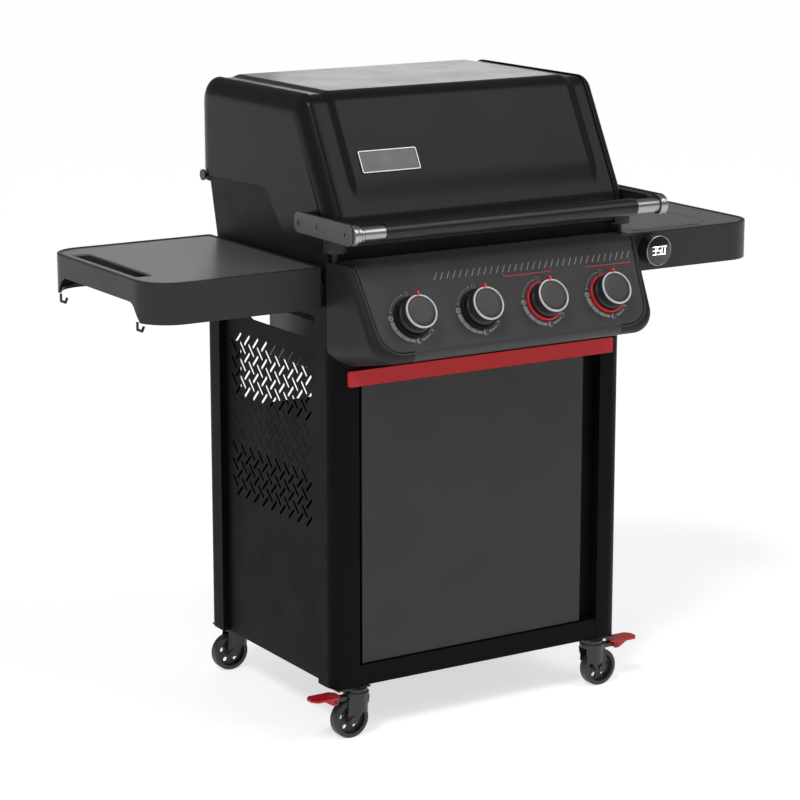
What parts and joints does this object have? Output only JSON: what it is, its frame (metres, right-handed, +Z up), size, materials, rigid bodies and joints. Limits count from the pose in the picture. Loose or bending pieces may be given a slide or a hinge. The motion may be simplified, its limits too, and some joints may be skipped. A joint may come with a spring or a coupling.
{
  "type": "gas barbecue grill",
  "caption": "Four-burner gas barbecue grill with a hinged lid, sloping control panel, side shelves, door cabinet and swivel casters.",
  "frame": {"origin": "on the floor, at the middle of the overall footprint", "axes": "+X to the user's right seen from the front, +Y to the rear, +Z up"},
  "size_m": [1.3686, 0.6572, 1.216],
  "materials": {
    "lid_enamel": "semi-gloss enamel",
    "black_paint": "fine-textured satin paint",
    "handle_paint": "satin paint",
    "grey_paint": "satin grey paint",
    "panel_paint": "fine-textured satin paint",
    "shelf_paint": "fine-textured grey paint",
    "red_paint": "satin red paint",
    "cast_black": "black-coated casting",
    "cast_iron": "enamelled cast iron",
    "steel": "brushed",
    "steel_black": "black coating",
    "chrome_wire": "plated wire",
    "aluminium": "foil",
    "brass": "plain",
    "black_plastic": "fine-grained moulding",
    "knob_plastic": "soft-touch moulding",
    "red_plastic": "moulded",
    "fork_plastic": "moulded",
    "black_rubber": "matte",
    "wheel_rubber": "matte",
    "display": "dark window"
  },
  "bodies": {
    "cart": {"lid_hinge_pins": "steel", "cookbox": "cast_black", "cooking_grate_left": "cast_iron", "cooking_grate_right": "cast_iron", "heat_deflectors": "steel", "burner_tubes": "steel", "igniter_electrodes": "steel", "warming_rack": "chrome_wire", "gas_manifold": "brass", "knob_bezels_dark": "black_plastic", "knob_bezels_red": "red_plastic", "control_panel_face": "panel_paint", "control_panel_end_left": "black_plastic", "control_panel_end_right": "black_plastic", "corner_posts": "black_paint", "side_panel_left": "black_paint", "side_panel_right": "black_paint", "cabinet_floor": "black_paint", "back_panel": "black_paint", "front_crossbar": "red_paint", "bottom_rails": "black_paint", "door_hinge_pins": "steel", "shelf_left_frame": "black_paint", "shelf_left_top": "shelf_paint", "shelf_right_frame": "black_paint", "shelf_right_top": "shelf_paint", "shelf_hooks": "black_plastic", "temperature_display": "display", "caster_mounts": "steel_black"},
    "lid": {"lid_sheet": "lid_enamel", "lid_end_cap_left": "black_paint", "lid_end_cap_right": "black_paint", "lid_handle_tube": "handle_paint", "lid_handle_ferrules": "steel", "lid_handle_brackets": "black_plastic", "lid_handle_side_plates": "grey_paint", "lid_handle_screws": "grey_paint", "lid_badge": "grey_paint", "lid_bumpers": "black_rubber"},
    "door": {"door": "panel_paint"},
    "tray": {"grease_tray": "black_paint", "drip_pan": "aluminium"},
    "stem_1": {"valve_stem_1": "steel"},
    "knob_1": {"knob_1": "knob_plastic"},
    "stem_2": {"valve_stem_2": "steel"},
    "knob_2": {"knob_2": "knob_plastic"},
    "stem_3": {"valve_stem_3": "steel"},
    "knob_3": {"knob_3": "knob_plastic"},
    "stem_4": {"valve_stem_4": "steel"},
    "knob_4": {"knob_4": "knob_plastic"},
    "fork_1": {"caster_fork_1": "fork_plastic"},
    "wheel_1": {"caster_wheel_1": "wheel_rubber"},
    "fork_2": {"caster_fork_2": "fork_plastic"},
    "wheel_2": {"caster_wheel_2": "wheel_rubber"},
    "fork_3": {"caster_fork_3": "fork_plastic"},
    "wheel_3": {"caster_wheel_3": "wheel_rubber"},
    "fork_4": {"caster_fork_4": "fork_plastic"},
    "wheel_4": {"caster_wheel_4": "wheel_rubber"},
    "lever_1": {"brake_lever_1": "red_plastic"},
    "lever_2": {"brake_lever_2": "red_plastic"}
  },
  "joints": [
    {"name": "lid_hinge", "type": "hinge", "parent": "cart", "child": "lid", "pos_m": [0, 0.30665, 1.021], "axis": [-1, 0, 0], "range_deg": [0, 85]},
    {"name": "door_hinge", "type": "hinge", "parent": "cart", "child": "door", "pos_m": [-0.262, -0.17435, 0.411], "axis": [0, 0, -1], "range_deg": [0, 100]},
    {"name": "tray_slide", "type": "slide", "parent": "cart", "child": "tray", "axis": [0, 1, 0], "range_m": [0, 0.34]},
    {"name": "knob_1_push", "type": "slide", "parent": "cart", "child": "stem_1", "axis": [0, 0.8829, -0.4695], "range_m": [0, 0.003], "stiffness_N_per_m": 1500, "springref_m": -0.001},
    {"name": "knob_1_turn", "type": "hinge", "parent": "stem_1", "child": "knob_1", "pos_m": [-0.21825, -0.28005, 0.8233], "axis": [0, -0.8829, 0.4695], "range_deg": [0, 228]},
    {"name": "knob_2_push", "type": "slide", "parent": "cart", "child": "stem_2", "axis": [0, 0.8829, -0.4695], "range_m": [0, 0.003], "stiffness_N_per_m": 1500, "springref_m": -0.001},
    {"name": "knob_2_turn", "type": "hinge", "parent": "stem_2", "child": "knob_2", "pos_m": [-0.07275, -0.28005, 0.8233], "axis": [0, -0.8829, 0.4695], "range_deg": [0, 228]},
    {"name": "knob_3_push", "type": "slide", "parent": "cart", "child": "stem_3", "axis": [0, 0.8829, -0.4695], "range_m": [0, 0.003], "stiffness_N_per_m": 1500, "springref_m": -0.001},
    {"name": "knob_3_turn", "type": "hinge", "parent": "stem_3", "child": "knob_3", "pos_m": [0.07275, -0.28005, 0.8233], "axis": [0, -0.8829, 0.4695], "range_deg": [0, 228]},
    {"name": "knob_4_push", "type": "slide", "parent": "cart", "child": "stem_4", "axis": [0, 0.8829, -0.4695], "range_m": [0, 0.003], "stiffness_N_per_m": 1500, "springref_m": -0.001},
    {"name": "knob_4_turn", "type": "hinge", "parent": "stem_4", "child": "knob_4", "pos_m": [0.21825, -0.28005, 0.8233], "axis": [0, -0.8829, 0.4695], "range_deg": [0, 228]},
    {"name": "caster_1_swivel", "type": "hinge", "parent": "cart", "child": "fork_1", "pos_m": [-0.276, -0.17235, 0.086], "axis": [0, 0, 1], "continuous": true},
    {"name": "caster_1_roll", "type": "hinge", "parent": "fork_1", "child": "wheel_1", "pos_m": [-0.291, -0.17235, 0.0375], "axis": [0, 1, 0], "continuous": true},
    {"name": "caster_2_swivel", "type": "hinge", "parent": "cart", "child": "fork_2", "pos_m": [0.276, -0.17235, 0.086], "axis": [0, 0, 1], "continuous": true},
    {"name": "caster_2_roll", "type": "hinge", "parent": "fork_2", "child": "wheel_2", "pos_m": [0.291, -0.17235, 0.0375], "axis": [0, 1, 0], "continuous": true},
    {"name": "caster_3_swivel", "type": "hinge", "parent": "cart", "child": "fork_3", "pos_m": [-0.276, 0.30365, 0.086], "axis": [0, 0, 1], "continuous": true},
    {"name": "caster_3_roll", "type": "hinge", "parent": "fork_3", "child": "wheel_3", "pos_m": [-0.291, 0.30365, 0.0375], "axis": [0, 1, 0], "continuous": true},
    {"name": "caster_4_swivel", "type": "hinge", "parent": "cart", "child": "fork_4", "pos_m": [0.276, 0.30365, 0.086], "axis": [0, 0, 1], "continuous": true},
    {"name": "caster_4_roll", "type": "hinge", "parent": "fork_4", "child": "wheel_4", "pos_m": [0.291, 0.30365, 0.0375], "axis": [0, 1, 0], "continuous": true},
    {"name": "brake_1_press", "type": "hinge", "parent": "fork_1", "child": "lever_1", "pos_m": [-0.327, -0.17235, 0.079], "axis": [0, -1, 0], "range_deg": [0, 14]},
    {"name": "brake_2_press", "type": "hinge", "parent": "fork_2", "child": "lever_2", "pos_m": [0.327, -0.17235, 0.079], "axis": [0, 1, 0], "range_deg": [0, 14]}
  ]
}
